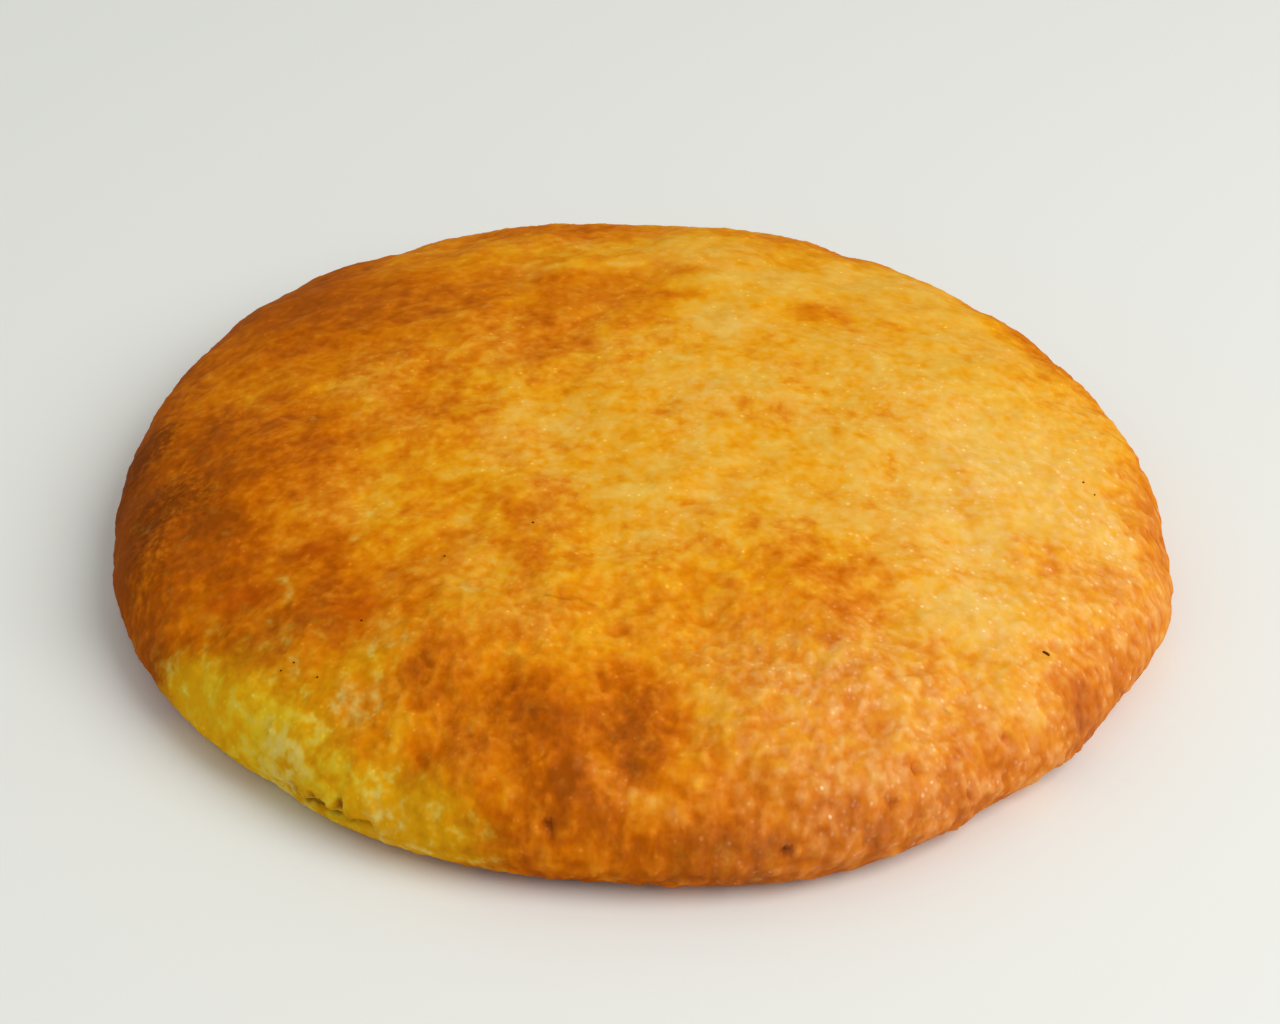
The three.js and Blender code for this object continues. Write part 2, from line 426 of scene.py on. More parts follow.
# Browning
# The oven toasted the left and the back left, scorched the left edge and browned a hot spot on the front. An
# even golden bake changes towards each side and the rim over a stretch, with soft patches on it.
GOLDEN = 0.34
TOASTED_LEFT = 0.26
LEFT_STRETCH = (-5, -40)
PALE_RIGHT = 0.10
RIGHT_STRETCH = (10, 35)
TOASTED_FRONT = 0.14
FRONT_STRETCH = (-18, -30)
TOASTED_RIM = 0.30
RIM_LEVELS = (13.5, 6)
BROWNED_PATCHES = [
    # Left edge, scorched
    (-50, -8, 19, 8, 90, 0.12),
    (-52, -5, 14, 4, 90, 0.12),
    (-43, -8, 12, 5, 90, 0.10),
    (-40, -18, 8, 5, -60, 0.12),
    (-35, -3, 9, 6, 90, 0.16),
    (-45, 3, 5, 3.5, 80, 0.16),
    (-41, -14, 3, 2.5, 0, 0.14),
    (-40, -9, 3, 3, 0, 0.08),
    (-46, -20, 2.5, 3, 0, 0.16),
    (-44, -27, 6, 4, -60, -0.16),
    (-49, -21, 4, 3, -70, -0.16),
    # Back left, toasted
    (-31, 23, 15, 10, 0, 0.22),
    (-9, 21, 10, 10, 0, 0.25),
    (1, 22, 9, 4, 90, 0.12),
    (-37, 31, 7, 5, 40, 0.12),
    (-8, 43, 13, 5, 0, 0.34),
    (-22, 28.5, 8, 3, 0, 0.08),
    (-15, 34.5, 11, 3.5, -5, 0.10),
    (-4, 26, 5, 3, 0, 0.06),
    (-8, 29.5, 2.5, 0.8, 0, -0.20),
    (-1.5, 30, 2.5, 0.8, 0, -0.16),
    (-33, 38, 6, 4, 35, 0.15),
    # Back right, golden with paler clouds
    (6, 35, 5, 4, 0, -0.10),
    (14, 27, 7, 4, 10, -0.14),
    (25, 31, 6, 4, 0, -0.06),
    (9.5, 17, 4, 4, 0, -0.20),
    (20, 20, 4, 2.5, 0, 0.26),
    (6.5, 28, 3.2, 1.2, 0, 0.16),
    (4.5, 22.5, 3, 1.3, 0, 0.16),
    (17.5, 34, 4, 2.5, 0, 0.10),
    (27, 17.5, 3, 2, 0, 0.18),
    (45, 25, 14, 6, -60, 0.28),
    (20, 42, 12, 4, -15, 0.22),
    # Middle and right
    (-20, 1, 8, 5, 90, 0.16),
    (-19, -15, 3, 3, 0, 0.10),
    (-8, 9, 8, 5, 90, 0.14),
    (-21.5, 11, 4, 3.5, 0, 0.10),
    (-9.5, -20, 7, 4, 90, 0.17),
    (10, -7, 4, 3, 0, -0.05),
    (43, 12, 6, 4, 90, 0.12),
    (39, -20, 4, 3, 0, 0.16),
    (38.5, -27, 4, 3, 0, 0.06),
    (8, 5, 6, 3, 0, -0.14),
    (25, 8, 4, 3, 0, -0.12),
    (-5, -3, 5, 2.5, 20, -0.12),
    (35, -4, 8, 8, 0, -0.08),
    (4, -10, 7, 2, 45, -0.08),
    (0.2, -15.8, 3, 2.5, 0, -0.12),
    (19.5, -15.5, 3, 3, 0, -0.06),
    (2.6, -19, 2.2, 1.8, 0, 0.08),
    (-12, -17, 3, 3, 0, 0.12),
    (-18, -22, 3, 2.5, 0, 0.08),
    (-6, -19, 2, 3, 0, 0.10),
    (10, -22, 4, 3.5, 0, 0.03),
    (19, -24, 4, 3, 0, 0.10),
    (24, -8, 3, 2, 0, 0.08),
    (45, -20, 5, 4, 0, 0.14),
    (47, -14, 3, 3, 0, -0.08),
    (51, -6, 9, 3.5, 90, 0.24),
    # Front
    (20, -29, 5, 4, 80, 0.13),
    (15, -24, 4, 3, 0, 0.12),
    (33, -29, 7, 4, 0, -0.20),
    (34, -21, 3, 3, 0, -0.08),
    (41, -34.3, 3.6, 2.4, 30, 0.15),
    (7, -43, 4, 2, 90, -0.08),
    (-5, -45.5, 9, 6.5, 0, 0.25),
    (-10.8, -40.8, 3.2, 3.0, 0, 0.16),
    (-8.8, -45.2, 3.0, 2.8, 0, 0.17),
    (0.8, -46, 3.2, 3.6, 0, 0.18),
    (-6.5, -49.2, 2.1, 1.7, 20, 0.34),
    (-6, -52, 3.2, 2, 0, 0.11),
    (-19, -38.5, 5, 3, -20, 0.14),
    (-7, -54.5, 8, 2.5, 0, -0.11),
    (9, -54, 4, 2, 0, 0.08),
    (0.8, -49.4, 2.2, 1.2, -25, 0.10),
    (-1.8, -52.2, 2.4, 1.1, -20, 0.08),
    (1.5, -54.5, 3, 1.5, 0, 0.07),
    (-23, -43.5, 2.6, 5, 0, -0.16),
    (-17.8, -44.5, 2.5, 3, 0, 0.05),
    (38, -39.5, 4, 3, 0, -0.12),
    (0, -40, 4, 3, 0, 0.14),
    (3, -33, 6, 3, 0, 0.02),
    (9, -46, 3, 3, 0, 0.06),
    (18.5, -42.5, 3, 2.5, 0, 0.07),
    (19, -52, 5, 3, 0, 0.03),
    (24, -43, 11, 6, 30, 0.05),
    (14, -32, 6, 3, 0, 0.05),
    # Front left
    (-29, -28, 4, 3.5, 0, 0.12),
    (-18.5, -31, 3, 3, 0, -0.04),
    (-30, -21, 3.5, 3, 0, 0.18),
    (-39, -20, 4, 3, 0, 0.02),
    (-37, -23, 7, 4, -25, 0.06),
    (-26, -14, 3, 3.5, 0, -0.10),
    (-31, 5, 3, 4, 0, -0.10),
    (-30, -4, 3, 3, 0, 0.06),
    (-15, -27, 3, 2.5, 0, -0.10),
]
CHAR_PATCHES = [
    (-50.6, 5, 4, 3, 70, 0.80),
    (-53.5, 0, 5, 3, 90, 0.50),
    (-47.5, -7.5, 4, 4, 75, 0.70),
    (-43, -10, 4, 2.5, 60, 0.35),
    (-49, -15, 6, 3, 100, 0.55),
]
RUST_PATCHES = [
    (-31.5, -20.5, 2.6, 1.6, 20, 0.7),
    (-37.4, -24.8, 3.6, 1.6, -10, 0.8),
    (-41.5, -25.2, 1.5, 1.0, 0, 0.5),
    (-26.0, -29.0, 2.6, 1.8, 10, 0.8),
    (-18.4, -20.8, 1.5, 1.2, 0, 0.6),
    (-11.1, -16.9, 2.4, 1.6, 20, 0.3),
    (42.0, -34.0, 2.6, 1.6, 40, 0.5),
    (46.3, -27.9, 1.3, 1.0, 40, 0.6),
]
CREAM_PATCHES = [
    (-26.4, -38.9, 2.8, 2.0, 0, 0.65),
    (-23.4, -33.8, 2.6, 1.8, 20, 0.4),
    (-34.3, -39.0, 0.6, 1.0, 0, 0.4),
    (-33.0, -41.3, 3.5, 1.6, -35, 0.5),
    (-15.7, -28.1, 2.2, 1.4, 0, 0.5),
    (-22.0, -49.0, 4.0, 1.4, -25, 0.35),
    (0.0, -21.3, 1.8, 1.2, 0, 0.6),
    (0.6, -14.8, 2.6, 1.0, 70, 0.55),
]
LEMON_PATCHES = [
    (-40.0, -34.5, 6.0, 2.4, -45, 0.5),
    (-34.0, -38.5, 3.0, 2.4, 0, 0.6),
    (-31.0, -43.0, 6.5, 3.0, -35, 0.7),
    (-24.0, -37.5, 2.6, 2.0, 0, 0.5),
]
UNDERSIDE_TOAST = 0.62
PIT_SHADE_TOAST = 0.24

toast = GOLDEN + TOASTED_LEFT * step(east, *LEFT_STRETCH) - PALE_RIGHT * step(east, *RIGHT_STRETCH)
toast += TOASTED_FRONT * step(north, *FRONT_STRETCH) + TOASTED_RIM * step(level, *RIM_LEVELS)
# Pits are painted darker, as shade in them
toast += patches(BROWNED_PATCHES) + PIT_SHADE_TOAST * pits - FOLD_HIGHLIGHT * fold
toast[underside] = UNDERSIDE_TOAST
keep("toast", toast)
keep("char", patches(CHAR_PATCHES))
keep("rust", patches(RUST_PATCHES))
keep("cream", np.maximum(patches(CREAM_PATCHES), SPLIT_CREAMY * split))
keep("lemon", patches(LEMON_PATCHES))

# Mottles are fainter on the craggy skin and on the left, and all the fine marks are softer at the back
CRAGS_MOTTLED = 0.48
LEFT_MOTTLED = 0.58
MOTTLED_STRETCH = (-12, -32)
BACK_CRISPNESS = 0.70
BACK_STRETCH = (5, 28)
mottling = 1 - (1 - CRAGS_MOTTLED) * np.clip(crags, 0, 1)
keep("mottling", mottling * (1 - (1 - LEFT_MOTTLED) * step(east, *MOTTLED_STRETCH)))
keep("crispness", 1 - (1 - BACK_CRISPNESS) * step(north, *BACK_STRETCH))

# Oil sweated out of the cheese in beads, little at the left and the back, and most of all on the front right
# and the right edge: how oily each place is, and the stretches east and north over which it becomes so
OILY_TOP = 0.16
OILY_LEFT = 0.08
DRY_EAST = (-5, -25)
DRY_NORTH = (5, 25)
OILY_PLACES = [
    (1.3, (0, 22), (-27, -42)),
    (0.78, (18, 38), (8, -10)),
]
OILY_RIM = 0.5
OILY_RIM_EAST = (18, 34)
OILY_RIM_NORTH = (-8, -20)
# The oil also sets how strong the painted sheen and bead highlights in the finish are
oil = OILY_TOP + (OILY_LEFT - OILY_TOP) * np.maximum(step(east, *DRY_EAST), step(north, *DRY_NORTH))
for most, over_east, over_north in OILY_PLACES:
    oil += (most - oil) * step(east, *over_east) * step(north, *over_north)
oil += OILY_RIM * step(level, *RIM_LEVELS) * step(east, *OILY_RIM_EAST) * step(north, *OILY_RIM_NORTH)
keep("oil", oil + FOLD_OILY * fold)

# The bread as a plain mesh in place of the solid
bread = bpy.data.objects.new("rice_bread_crust", body)
bpy.context.scene.collection.objects.link(bread)
shaping = bread.modifiers.new("crust_relief", "NODES")
shaping.node_group = relief
for name, size in RELIEF_SIZES.items():
    shaping[size_sockets[name].identifier] = size
depsgraph = bpy.context.evaluated_depsgraph_get()
shaped = bpy.data.meshes.new_from_object(
    bread.evaluated_get(depsgraph), preserve_all_data_layers=True, depsgraph=depsgraph
)
bread.modifiers.remove(shaping)
bread.data = shaped


def linear(code):
    """A colour code such as a3c0ff, as the linear red, green, blue and alpha that a shader takes."""
    shares = [int(code[i : i + 2], 16) / 255 for i in (0, 2, 4)]
    return [s / 12.92 if s <= 0.04045 else ((s + 0.055) / 1.055) ** 2.4 for s in shares] + [1.0]


# Crust finish
# Oven-baked rice dough: a dry skin, oily in places from the fat of its cheese, so that its granules glint.
# Its colour runs from pale gold to dark brown with the browning, mottled by the curds under the skin.
BAKE_COLOURS = [
    # browning and the skin's colour there
    (0.00, "ecbe54"),
    (0.18, "e9b03a"),
    (0.38, "e89e0c"),
    (0.54, "dd8402"),
    (0.68, "cf6e00"),
    (0.82, "b55800"),
    (1.00, "994802"),
]
CHAR_BROWN = "6e3408"
RUST_RED = "b84c04"
RAW_YELLOW = "e0a40e"
RAW_LEMON = "dfb920"
RAW_CREAM = "dfc464"
# Peach of the painted sheen and bead highlights, and of the flour dust
PEACH_SHEEN_AND_DUST = "efc698"
# Painted shade for the cracks and the gap under the torn edge
CRACK_SHADE_BROWN = "5c3c08"
CLOUD_STRENGTH = 0.15
MOTTLE_WIDTH = 2.6
MOTTLE_STRENGTH = 0.80
STROKE_WIDTH = 0.75
STROKE_STRENGTH = -0.22
STROKE_DEPTH = 0.07
CURD_SHADE = 0.06
GRANULE_SHADE = 0.09
# Crests of the curds, granules and flakes painted lighter and the hollows darker: painted highlight and
# shade
CURD_CREST_LIGHT = -0.06
GRANULE_CREST_LIGHT = -0.08
FLAKE_CREST_LIGHT = -0.08
# Painted sheen on the granule crests where the skin is oily, and painted highlights on the beads
PAINTED_SHEEN_LEAST = 0.07
PAINTED_SHEEN_SHARE = 0.40
PAINTED_SHEEN_CRESTS = (-0.45, 0.45)
BEAD_SPACING = 0.60
BEAD_REACH = 0.46
BEAD_DEPTH = 0.08
BEAD_RAGGEDNESS = 0.6
BEAD_CLUSTERS = 5.0
CLUSTERED_MEAN = 0.6
BEADS_LEFT_OUT = 0.38
BEAD_PAINTED_HIGHLIGHT = 0.85
# Flour dust with painted sheen in it: a little peach in clouds along the strokes
DUST_AND_SHEEN_SHARE = 0.11
DUST_AND_SHEEN_CLOUDS = 1.2
DUST_AND_SHEEN_LEVELS = (-0.05, 0.4)
# Painted glints: highlights put into the skin colour on the strongest beads
GLINTS_LEFT_OUT = 0.38
GLINTS_FULL = 0.95
GLINT_CRESTS = (-0.25, 0.25)
GLINT_GAIN = (1.42, 1.7, 2.0, 1.0)
PEACH_ON_PALE = 1.1
PEACH_ON_BROWN = 0.12
PEACH_ON_OILY_BROWN = 0.2
PALE_BAKE = 0.25
BROWN_BAKE = 0.64
OILY_BROWN_BAKE = 0.75
SHEEN_SHARE = 0.10
CRUMB_GRAIN = 1.9
RAW_RAGGEDNESS = 1.0
CRUMBS_FROM = 0.1
MARK_LEVELS = (0.1, 0.9)
GLOSS = 0.01
ROUGHNESS = 0.7
OIL_ROUGHNESS = 0.45

crust.use_nodes = True
skin = crust.node_tree
skin.nodes.clear()
field = {}
bake_fields = ["toast", "mottling", "crispness", "char", "rust", "oil"]
dough_fields = ["raw", "cream", "lemon", "shaded_crack", "crags", "clouds", "flakes"]
for name in [*bake_fields, *dough_fields, *lumpy, *shades]:
    field[name] = add(skin, "ShaderNodeAttribute", out="Fac", attribute_name=name)

# Browning, varied by clouds, mottles and short strokes, with painted highlight on the crests of the curds,
# granules and flakes and painted shade between them, through the colours of the bake
spot = add(skin, "ShaderNodeTexCoord", out="Object")
DRAW_OUT = (1.0, 1.0, CURD_WIDTH / CURD_DROP)
drawn_spot = add(skin, "ShaderNodeVectorMath", {0: spot, 1: DRAW_OUT}, operation="MULTIPLY")
patterns = {}
for name, place, width, detail, fineness in [
    ("mottles", drawn_spot, MOTTLE_WIDTH, 1.8, 0.58),
    ("strokes", drawn_spot, STROKE_WIDTH, 1.4, 0.6),
    ("crumbs", spot, CRUMB_GRAIN, 2.5, 0.62),
]:
    noise = add(
        skin,
        "ShaderNodeTexNoise",
        {"Vector": place, "Scale": 1 / (width * MM), "Detail": detail, "Roughness": fineness},
    )
    patterns[name] = add(skin, "ShaderNodeMath", {0: noise, 1: NOISE_MIDDLE}, operation="SUBTRACT")
mottles = patterns["mottles"]
crumbs = patterns["crumbs"]
crispness = field["crispness"]
strokes = add(skin, "ShaderNodeMath", {0: patterns["strokes"], 1: crispness}, operation="MULTIPLY")
craggy_curds = add(skin, "ShaderNodeMath", {0: field["curds"], 1: field["crags"]}, operation="MULTIPLY")
patchy_mottles = add(skin, "ShaderNodeMath", {0: mottles, 1: field["mottling"]}, operation="MULTIPLY")
bake = add(
    skin,
    "ShaderNodeMath",
    {0: field["clouds"], 1: CLOUD_STRENGTH, 2: field["toast"]},
    operation="MULTIPLY_ADD",
)
texture = 0.0
for pattern, strength in [
    (patchy_mottles, MOTTLE_STRENGTH),
    (strokes, STROKE_STRENGTH),
    (craggy_curds, CURD_CREST_LIGHT),
    (field["granules"], GRANULE_CREST_LIGHT),
    (field["flakes"], FLAKE_CREST_LIGHT),
    (field["curds_shade"], CURD_SHADE),
    (field["granules_shade"], GRANULE_SHADE),
]:
    texture = add(skin, "ShaderNodeMath", {0: pattern, 1: strength, 2: texture}, operation="MULTIPLY_ADD")
bake = add(skin, "ShaderNodeMath", {0: texture, 1: crispness, 2: bake}, operation="MULTIPLY_ADD")
bake_ramp = skin.nodes.new("ShaderNodeValToRGB")
stops = bake_ramp.color_ramp.elements
stops.remove(stops[1])
for number, (share, code) in enumerate(BAKE_COLOURS):
    stop = stops[0] if number == 0 else stops.new(share)
    stop.position = share
    stop.color = linear(code)
skin.links.new(bake, bake_ramp.inputs["Fac"])

# Peach tones over the bake: painted highlights on the beads of oil and cheese and a painted sheen on the
# granule crests where the skin is oily, and a thin dust of flour in clouds that is partly painted sheen.
# They are fainter where the skin is brown.
bead_distance = add(
    skin, "ShaderNodeTexVoronoi", {"Vector": drawn_spot, "Scale": 1 / (BEAD_SPACING * MM)}, feature="F1"
)
ragged_distance = add(
    skin, "ShaderNodeMath", {0: strokes, 1: BEAD_RAGGEDNESS, 2: bead_distance}, operation="MULTIPLY_ADD"
)
roundness = add(
    skin,
    "ShaderNodeMapRange",
    {"Value": ragged_distance, "From Min": BEAD_REACH, "From Max": 0.0},
    interpolation_type="SMOOTHSTEP",
)
bead_strength = add(
    skin,
    "ShaderNodeMapRange",
    {"Value": bead_distance.node.outputs["Color"], "From Min": BEADS_LEFT_OUT, "From Max": 1.0},
)
clusters = add(
    skin,
    "ShaderNodeMath",
    {0: field["clouds"], 1: BEAD_CLUSTERS, 2: CLUSTERED_MEAN},
    operation="MULTIPLY_ADD",
    use_clamp=True,
)
bead_share = add(skin, "ShaderNodeMath", {0: roundness, 1: bead_strength}, operation="MULTIPLY")
bead_share = add(skin, "ShaderNodeMath", {0: bead_share, 1: clusters}, operation="MULTIPLY")
painted_sheen = add(
    skin,
    "ShaderNodeMapRange",
    {
        "Value": field["granules"],
        "From Min": PAINTED_SHEEN_CRESTS[0],
        "From Max": PAINTED_SHEEN_CRESTS[1],
        "To Min": PAINTED_SHEEN_LEAST,
        "To Max": PAINTED_SHEEN_SHARE,
    },
)
shown = {}
for name, brown_bake, on_brown in [
    ("dust_and_sheen", BROWN_BAKE, PEACH_ON_BROWN),
    ("oil", OILY_BROWN_BAKE, PEACH_ON_OILY_BROWN),
]:
    shown[name] = add(
        skin,
        "ShaderNodeMapRange",
        {
            "Value": bake,
            "From Min": PALE_BAKE,
            "From Max": brown_bake,
            "To Min": PEACH_ON_PALE,
            "To Max": on_brown,
        },
    )
cloudy_strokes = add(
    skin, "ShaderNodeMath", {0: field["clouds"], 1: DUST_AND_SHEEN_CLOUDS, 2: strokes}, operation="MULTIPLY_ADD"
)
dust_and_sheen = add(
    skin,
    "ShaderNodeMapRange",
    {"Value": cloudy_strokes, "From Min": DUST_AND_SHEEN_LEVELS[0], "From Max": DUST_AND_SHEEN_LEVELS[1], "To Max": DUST_AND_SHEEN_SHARE},
)
sheen_and_dust_share = add(skin, "ShaderNodeMath", {0: bead_share, 1: BEAD_PAINTED_HIGHLIGHT, 2: painted_sheen}, operation="MULTIPLY_ADD")
sheen_and_dust_share = add(skin, "ShaderNodeMath", {0: sheen_and_dust_share, 1: field["oil"]}, operation="MULTIPLY")
sheen_and_dust_share = add(skin, "ShaderNodeMath", {0: sheen_and_dust_share, 1: shown["oil"]}, operation="MULTIPLY")
sheen_and_dust_share = add(
    skin,
    "ShaderNodeMath",
    {0: dust_and_sheen, 1: shown["dust_and_sheen"], 2: sheen_and_dust_share},
    operation="MULTIPLY_ADD",
    use_clamp=True,
)
MIX_SHARE, MIX_FIRST, MIX_SECOND, MIX_RESULT = 0, 6, 7, 2
colour = add(
    skin,
    "ShaderNodeMix",
    {MIX_SHARE: sheen_and_dust_share, MIX_FIRST: bake_ramp.outputs["Color"], MIX_SECOND: linear(PEACH_SHEEN_AND_DUST)},
    out=MIX_RESULT,
    data_type="RGBA",
)

# Raw dough: golden yellow, lemon and cream in crumbly patches, with a ragged rim over a few millimetres
raw_colour = linear(RAW_YELLOW)
for name, code, raggedness in [("lemon", RAW_LEMON, 3.6), ("cream", RAW_CREAM, 2.8)]:
    ragged = add(
        skin, "ShaderNodeMath", {0: crumbs, 1: raggedness, 2: field[name]}, operation="MULTIPLY_ADD"
    )
    share = add(
        skin,
        "ShaderNodeMapRange",
        {"Value": ragged, "From Min": CRUMBS_FROM},
        interpolation_type="SMOOTHSTEP",
    )
    raw_colour = add(
        skin,
        "ShaderNodeMix",
        {MIX_SHARE: share, MIX_FIRST: raw_colour, MIX_SECOND: linear(code)},
        out=MIX_RESULT,
        data_type="RGBA",
    )
ragged_raw = add(
    skin, "ShaderNodeMath", {0: crumbs, 1: RAW_RAGGEDNESS, 2: field["raw"]}, operation="MULTIPLY_ADD"
)
raw_share = add(skin, "ShaderNodeMapRange", {"Value": ragged_raw}, interpolation_type="SMOOTHSTEP")
colour = add(
    skin,
    "ShaderNodeMix",
    {MIX_SHARE: raw_share, MIX_FIRST: colour, MIX_SECOND: raw_colour},
    out=MIX_RESULT,
    data_type="RGBA",
)

# Marks on the skin, each broken up by the strokes: rust-red scorch, char, and painted shade in the cracks
# and the gap under the torn edge
for name, code, raggedness, most in [
    ("rust", RUST_RED, 1.6, 0.48),
    ("char", CHAR_BROWN, -2.4, 0.66),
    ("shaded_crack", CRACK_SHADE_BROWN, 1.0, 0.75),
]:
    breaks = add(skin, "ShaderNodeMath", {0: strokes, 1: raggedness, 2: 1.0}, operation="MULTIPLY_ADD")
    ragged = add(skin, "ShaderNodeMath", {0: field[name], 1: breaks}, operation="MULTIPLY")
    share = add(
        skin,
        "ShaderNodeMapRange",
        {"Value": ragged, "From Min": MARK_LEVELS[0], "From Max": MARK_LEVELS[1], "To Max": most},
        interpolation_type="SMOOTHSTEP",
    )
    colour = add(
        skin,
        "ShaderNodeMix",
        {MIX_SHARE: share, MIX_FIRST: colour, MIX_SECOND: linear(code)},
        out=MIX_RESULT,
        data_type="RGBA",
    )

# Glints: painted highlights on the strongest beads on the crests of the granules, made by raising the skin
# colour under them
glint_strength = add(
    skin,
    "ShaderNodeMapRange",
    {"Value": bead_distance.node.outputs["Color"], "From Min": GLINTS_LEFT_OUT, "From Max": GLINTS_FULL},
)
on_crest = add(
    skin,
    "ShaderNodeMapRange",
    {"Value": field["granules"], "From Min": GLINT_CRESTS[0], "From Max": GLINT_CRESTS[1]},
)
glints = add(skin, "ShaderNodeMath", {0: roundness, 1: glint_strength}, operation="MULTIPLY")
glints = add(skin, "ShaderNodeMath", {0: glints, 1: on_crest}, operation="MULTIPLY")
colour = add(
    skin,
    "ShaderNodeMix",
    {MIX_SHARE: glints, MIX_FIRST: colour, MIX_SECOND: GLINT_GAIN},
    out=MIX_RESULT,
    data_type="RGBA",
    blend_type="MULTIPLY",
)

# Relief finer than the mesh: strokes on the skin, deepest where it is craggy, and beads in the coat of oil
stroked = add(
    skin, "ShaderNodeBump", {"Height": strokes, "Distance": STROKE_DEPTH * MM, "Strength": field["crags"]}
)
beaded = add(skin, "ShaderNodeBump", {"Height": bead_share, "Distance": BEAD_DEPTH * MM})
sheen = add(skin, "ShaderNodeMapRange", {"Value": bead_share, "To Min": SHEEN_SHARE})
oily = add(skin, "ShaderNodeMath", {0: sheen, 1: field["oil"]}, operation="MULTIPLY")
surface = add(
    skin,
    "ShaderNodeBsdfPrincipled",
    {
        "Base Color": colour,
        "Roughness": ROUGHNESS,
        "Specular IOR Level": GLOSS,
        "Coat Weight": oily,
        "Coat Roughness": OIL_ROUGHNESS,
        "Normal": stroked,
        "Coat Normal": beaded,
    },
)
add(skin, "ShaderNodeOutputMaterial", {"Surface": surface})

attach(bread, "root")
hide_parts(SOLID)

# Burnt specks
# Flecks of flour and cheese that charred in the oven and stuck to the skin, less than a millimetre long.
# Each one is a lumpy grain half sunk in the crust: its place x, y and z, length, breadth and heading.
SPECKS = [
    (38.75, -32.35, 12.2, 0.8, 0.34, -24),
    (-10.1, -20.0, 18.2, 0.25, 0.19, 0),
    (-18.3, -23.5, 17.2, 0.22, 0.18, 40),
    (-26.1, -30.8, 14.9, 0.25, 0.20, -20),
    (-32.4, -34.4, 13.0, 0.22, 0.18, 0),
    (-33.6, -34.8, 12.3, 0.22, 0.18, 30),
    (-29.7, -36.3, 12.7, 0.22, 0.18, 60),
    (45.4, -6.0, 13.3, 0.24, 0.19, 10),
    (46.2, -7.1, 12.8, 0.22, 0.16, 70),
]
SPECK_THICKNESS = 0.25
SPECK_LUMPS = 0.12
SPECK_LUMP_WIDTH = 0.2
GRAIN_RADIUS = 0.5
GRAIN_SUBDIVISIONS = 3
SPECK_BLACK = "361a04"
SPECK_BROWN = "70400c"
SPECK_MOTTLE_WIDTH = 0.25
SPECK_ROUGHNESS = 0.8

skin_places = np.empty(3 * len(shaped.vertices), np.float32)
shaped.vertices.foreach_get("co", skin_places)
skin_places = skin_places.reshape(-1, 3)
skin_normals = np.empty(3 * len(shaped.vertices), np.float32)
shaped.vertex_normals.foreach_get("vector", skin_normals)
skin_normals = skin_normals.reshape(-1, 3)
seats = []
for x, y, z, *_ in SPECKS:
    seats.append(np.argmin(np.linalg.norm(skin_places - np.array((x, y, z)) * MM, axis=1)))
speck_mesh = bpy.data.meshes.new("burnt_specks")
speck_mesh.from_pydata(skin_places[seats].tolist(), [], [])
extents = np.array([(length, breadth, SPECK_THICKNESS) for _, _, _, length, breadth, _ in SPECKS]) * MM
headings = np.array([math.radians(row[-1]) for row in SPECKS])
for name, kind, values in [
    ("outward", "FLOAT_VECTOR", skin_normals[seats]),
    ("extent", "FLOAT_VECTOR", extents),
    ("heading", "FLOAT", headings),
]:
    layer = speck_mesh.attributes.new(name, kind, "POINT")
    layer.data.foreach_set("value" if kind == "FLOAT" else "vector", values.astype(np.float32).ravel())

char = bpy.data.materials.new("charred_flour")
char.use_nodes = True
grain_skin = char.node_tree
grain_skin.nodes.clear()
grain_spot = add(grain_skin, "ShaderNodeTexCoord", out="Object")
grain_noise = add(
    grain_skin,
    "ShaderNodeTexNoise",
    {"Vector": grain_spot, "Scale": 1 / (SPECK_MOTTLE_WIDTH * MM), "Detail": 1.0},
)
grain_colour = add(
    grain_skin,
    "ShaderNodeMix",
    {MIX_SHARE: grain_noise, MIX_FIRST: linear(SPECK_BLACK), MIX_SECOND: linear(SPECK_BROWN)},
    out=MIX_RESULT,
    data_type="RGBA",
)
grain_surface = add(
    grain_skin,
    "ShaderNodeBsdfPrincipled",
    {"Base Color": grain_colour, "Roughness": SPECK_ROUGHNESS, "Specular IOR Level": 0.0},
)
add(grain_skin, "ShaderNodeOutputMaterial", {"Surface": grain_surface})

specking = bpy.data.node_groups.new("burnt_specks", "GeometryNodeTree")
specking.interface.new_socket("Seats", in_out="INPUT", socket_type="NodeSocketGeometry")
specking.interface.new_socket("Specks", in_out="OUTPUT", socket_type="NodeSocketGeometry")
lumps_socket = specking.interface.new_socket("Lumps", in_out="INPUT", socket_type="NodeSocketFloat")
speck_inputs = specking.nodes.new("NodeGroupInput").outputs
read = {}
for name, kind in [("outward", "FLOAT_VECTOR"), ("extent", "FLOAT_VECTOR"), ("heading", "FLOAT")]:
    read[name] = add(specking, "GeometryNodeInputNamedAttribute", {"Name": name}, data_type=kind)
grain = add(
    specking,
    "GeometryNodeMeshIcoSphere",
    {"Radius": GRAIN_RADIUS, "Subdivisions": GRAIN_SUBDIVISIONS},
)
turned = add(specking, "FunctionNodeAxisAngleToRotation", {"Axis": (0, 0, 1), "Angle": read["heading"]})
standing = add(
    specking,
    "FunctionNodeAlignRotationToVector",
    {"Rotation": turned, "Vector": read["outward"]},
    axis="Z",
)
strewn = add(
    specking,
    "GeometryNodeInstanceOnPoints",
    {"Points": speck_inputs["Seats"], "Instance": grain, "Rotation": standing, "Scale": read["extent"]},
)
grains = add(specking, "GeometryNodeRealizeInstances", {"Geometry": strewn})
lump_scale = 1 / (SPECK_LUMP_WIDTH * MM)
lump_noise = add(specking, "ShaderNodeTexNoise", {"Scale": lump_scale, "Detail": 1.0}, out="Color")
lump_middle = (NOISE_MIDDLE, NOISE_MIDDLE, NOISE_MIDDLE)
off_centre = add(specking, "ShaderNodeVectorMath", {0: lump_noise, 1: lump_middle}, operation="SUBTRACT")
lump_size = speck_inputs["Lumps"]
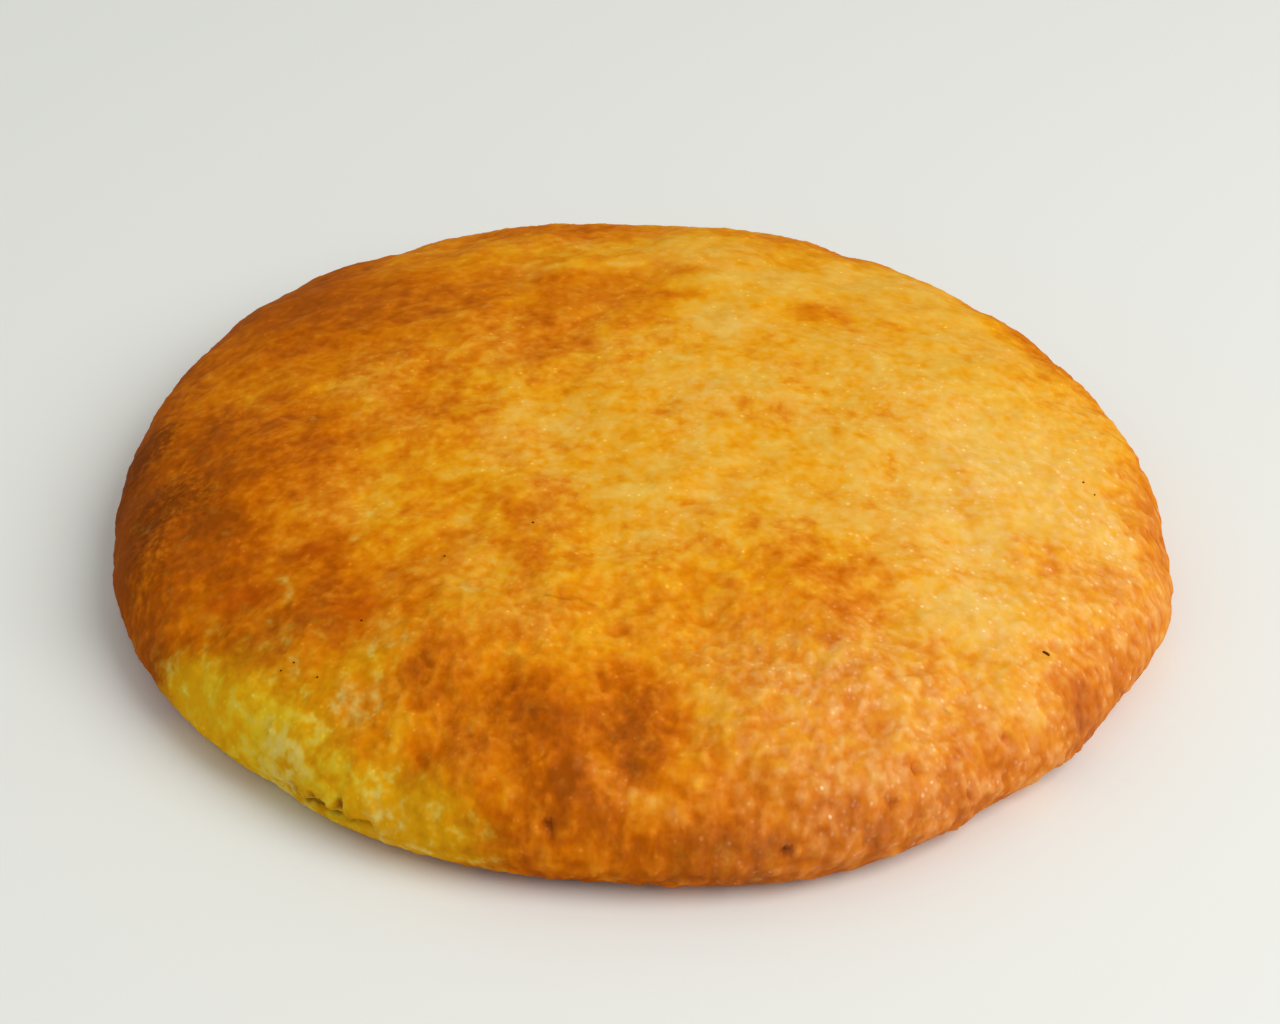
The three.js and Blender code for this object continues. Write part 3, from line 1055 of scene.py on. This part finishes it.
lump_push = add(specking, "ShaderNodeVectorMath", {0: off_centre, "Scale": lump_size}, operation="SCALE")
lumped = add(specking, "GeometryNodeSetPosition", {"Geometry": grains, "Offset": lump_push})
smooth_grains = add(specking, "GeometryNodeSetShadeSmooth", {"Geometry": lumped, "Shade Smooth": True})
blackened = add(specking, "GeometryNodeSetMaterial", {"Geometry": smooth_grains, "Material": char})
add(specking, "NodeGroupOutput", {"Specks": blackened})

specks = bpy.data.objects.new("burnt_specks", speck_mesh)
bpy.context.scene.collection.objects.link(specks)
growing = specks.modifiers.new("burnt_specks", "NODES")
growing.node_group = specking
growing[lumps_socket.identifier] = SPECK_LUMPS * MM
depsgraph = bpy.context.evaluated_depsgraph_get()
grown = bpy.data.meshes.new_from_object(specks.evaluated_get(depsgraph), depsgraph=depsgraph)
specks.modifiers.remove(growing)
specks.data = grown
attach(specks, "root")

# Camera
# The photograph looks down on the front of the bread with a short telephoto lens.
LENS = 85.0
SENSOR_WIDTH = 36.0
VIEW_ELEVATION = 35.585
VIEW_DISTANCE = 324.87
VIEW_AIM = Vector((0.27, 7.53, 0.0))
NEAREST_SEEN = 10

tilt = math.radians(VIEW_ELEVATION)
backward = Vector((0, -math.cos(tilt), math.sin(tilt)))
lens = bpy.data.cameras.new("camera")
lens.lens = LENS
lens.sensor_width = SENSOR_WIDTH
camera = bpy.data.objects.new("camera", lens)
camera.location = (VIEW_AIM + backward * VIEW_DISTANCE) * MM
camera.rotation_euler = (math.pi / 2 - tilt, 0, 0)
lens.clip_start = NEAREST_SEEN * MM
bpy.context.scene.collection.objects.link(camera)
bpy.context.scene.camera = camera

# Floor and light
# A pale table under a broad soft light from the front right, with weak light all round from a white room.
FLOOR_REACH = 3.0
TABLE_WHITE = "ecede8"
TABLE_ROUGHNESS = 0.8
KEY_PLACE = Vector((0.44, -0.26, 0.52))
KEY_SIZE = 0.6
KEY_POWER = 3.70
ROOM_LIGHT = 0.57
ROOM_WHITE = "f4f5f2"

floor_mesh = bpy.data.meshes.new("floor")
corners = [(-FLOOR_REACH, -FLOOR_REACH, 0), (FLOOR_REACH, -FLOOR_REACH, 0)]
corners += [(FLOOR_REACH, FLOOR_REACH, 0), (-FLOOR_REACH, FLOOR_REACH, 0)]
floor_mesh.from_pydata(corners, [], [(0, 1, 2, 3)])
floor = bpy.data.objects.new("floor", floor_mesh)
bpy.context.scene.collection.objects.link(floor)
table_top = bpy.data.materials.new("matt_white_table")
table_top.use_nodes = True
table_shader = table_top.node_tree.nodes["Principled BSDF"]
table_shader.inputs["Base Color"].default_value = linear(TABLE_WHITE)
table_shader.inputs["Roughness"].default_value = TABLE_ROUGHNESS
floor_mesh.materials.append(table_top)

key_light = bpy.data.lights.new("key", "AREA")
key_light.shape = "DISK"
key_light.size = KEY_SIZE
key_light.energy = KEY_POWER
key = bpy.data.objects.new("key", key_light)
key.location = KEY_PLACE
key.rotation_euler = (-KEY_PLACE).to_track_quat("-Z", "Y").to_euler()
bpy.context.scene.collection.objects.link(key)

room = bpy.data.worlds.new("room")
room.use_nodes = True
room_shader = room.node_tree.nodes["Background"]
room_shader.inputs["Color"].default_value = linear(ROOM_WHITE)
room_shader.inputs["Strength"].default_value = ROOM_LIGHT
bpy.context.scene.world = room
bpy.context.scene.view_settings.view_transform = "Standard"
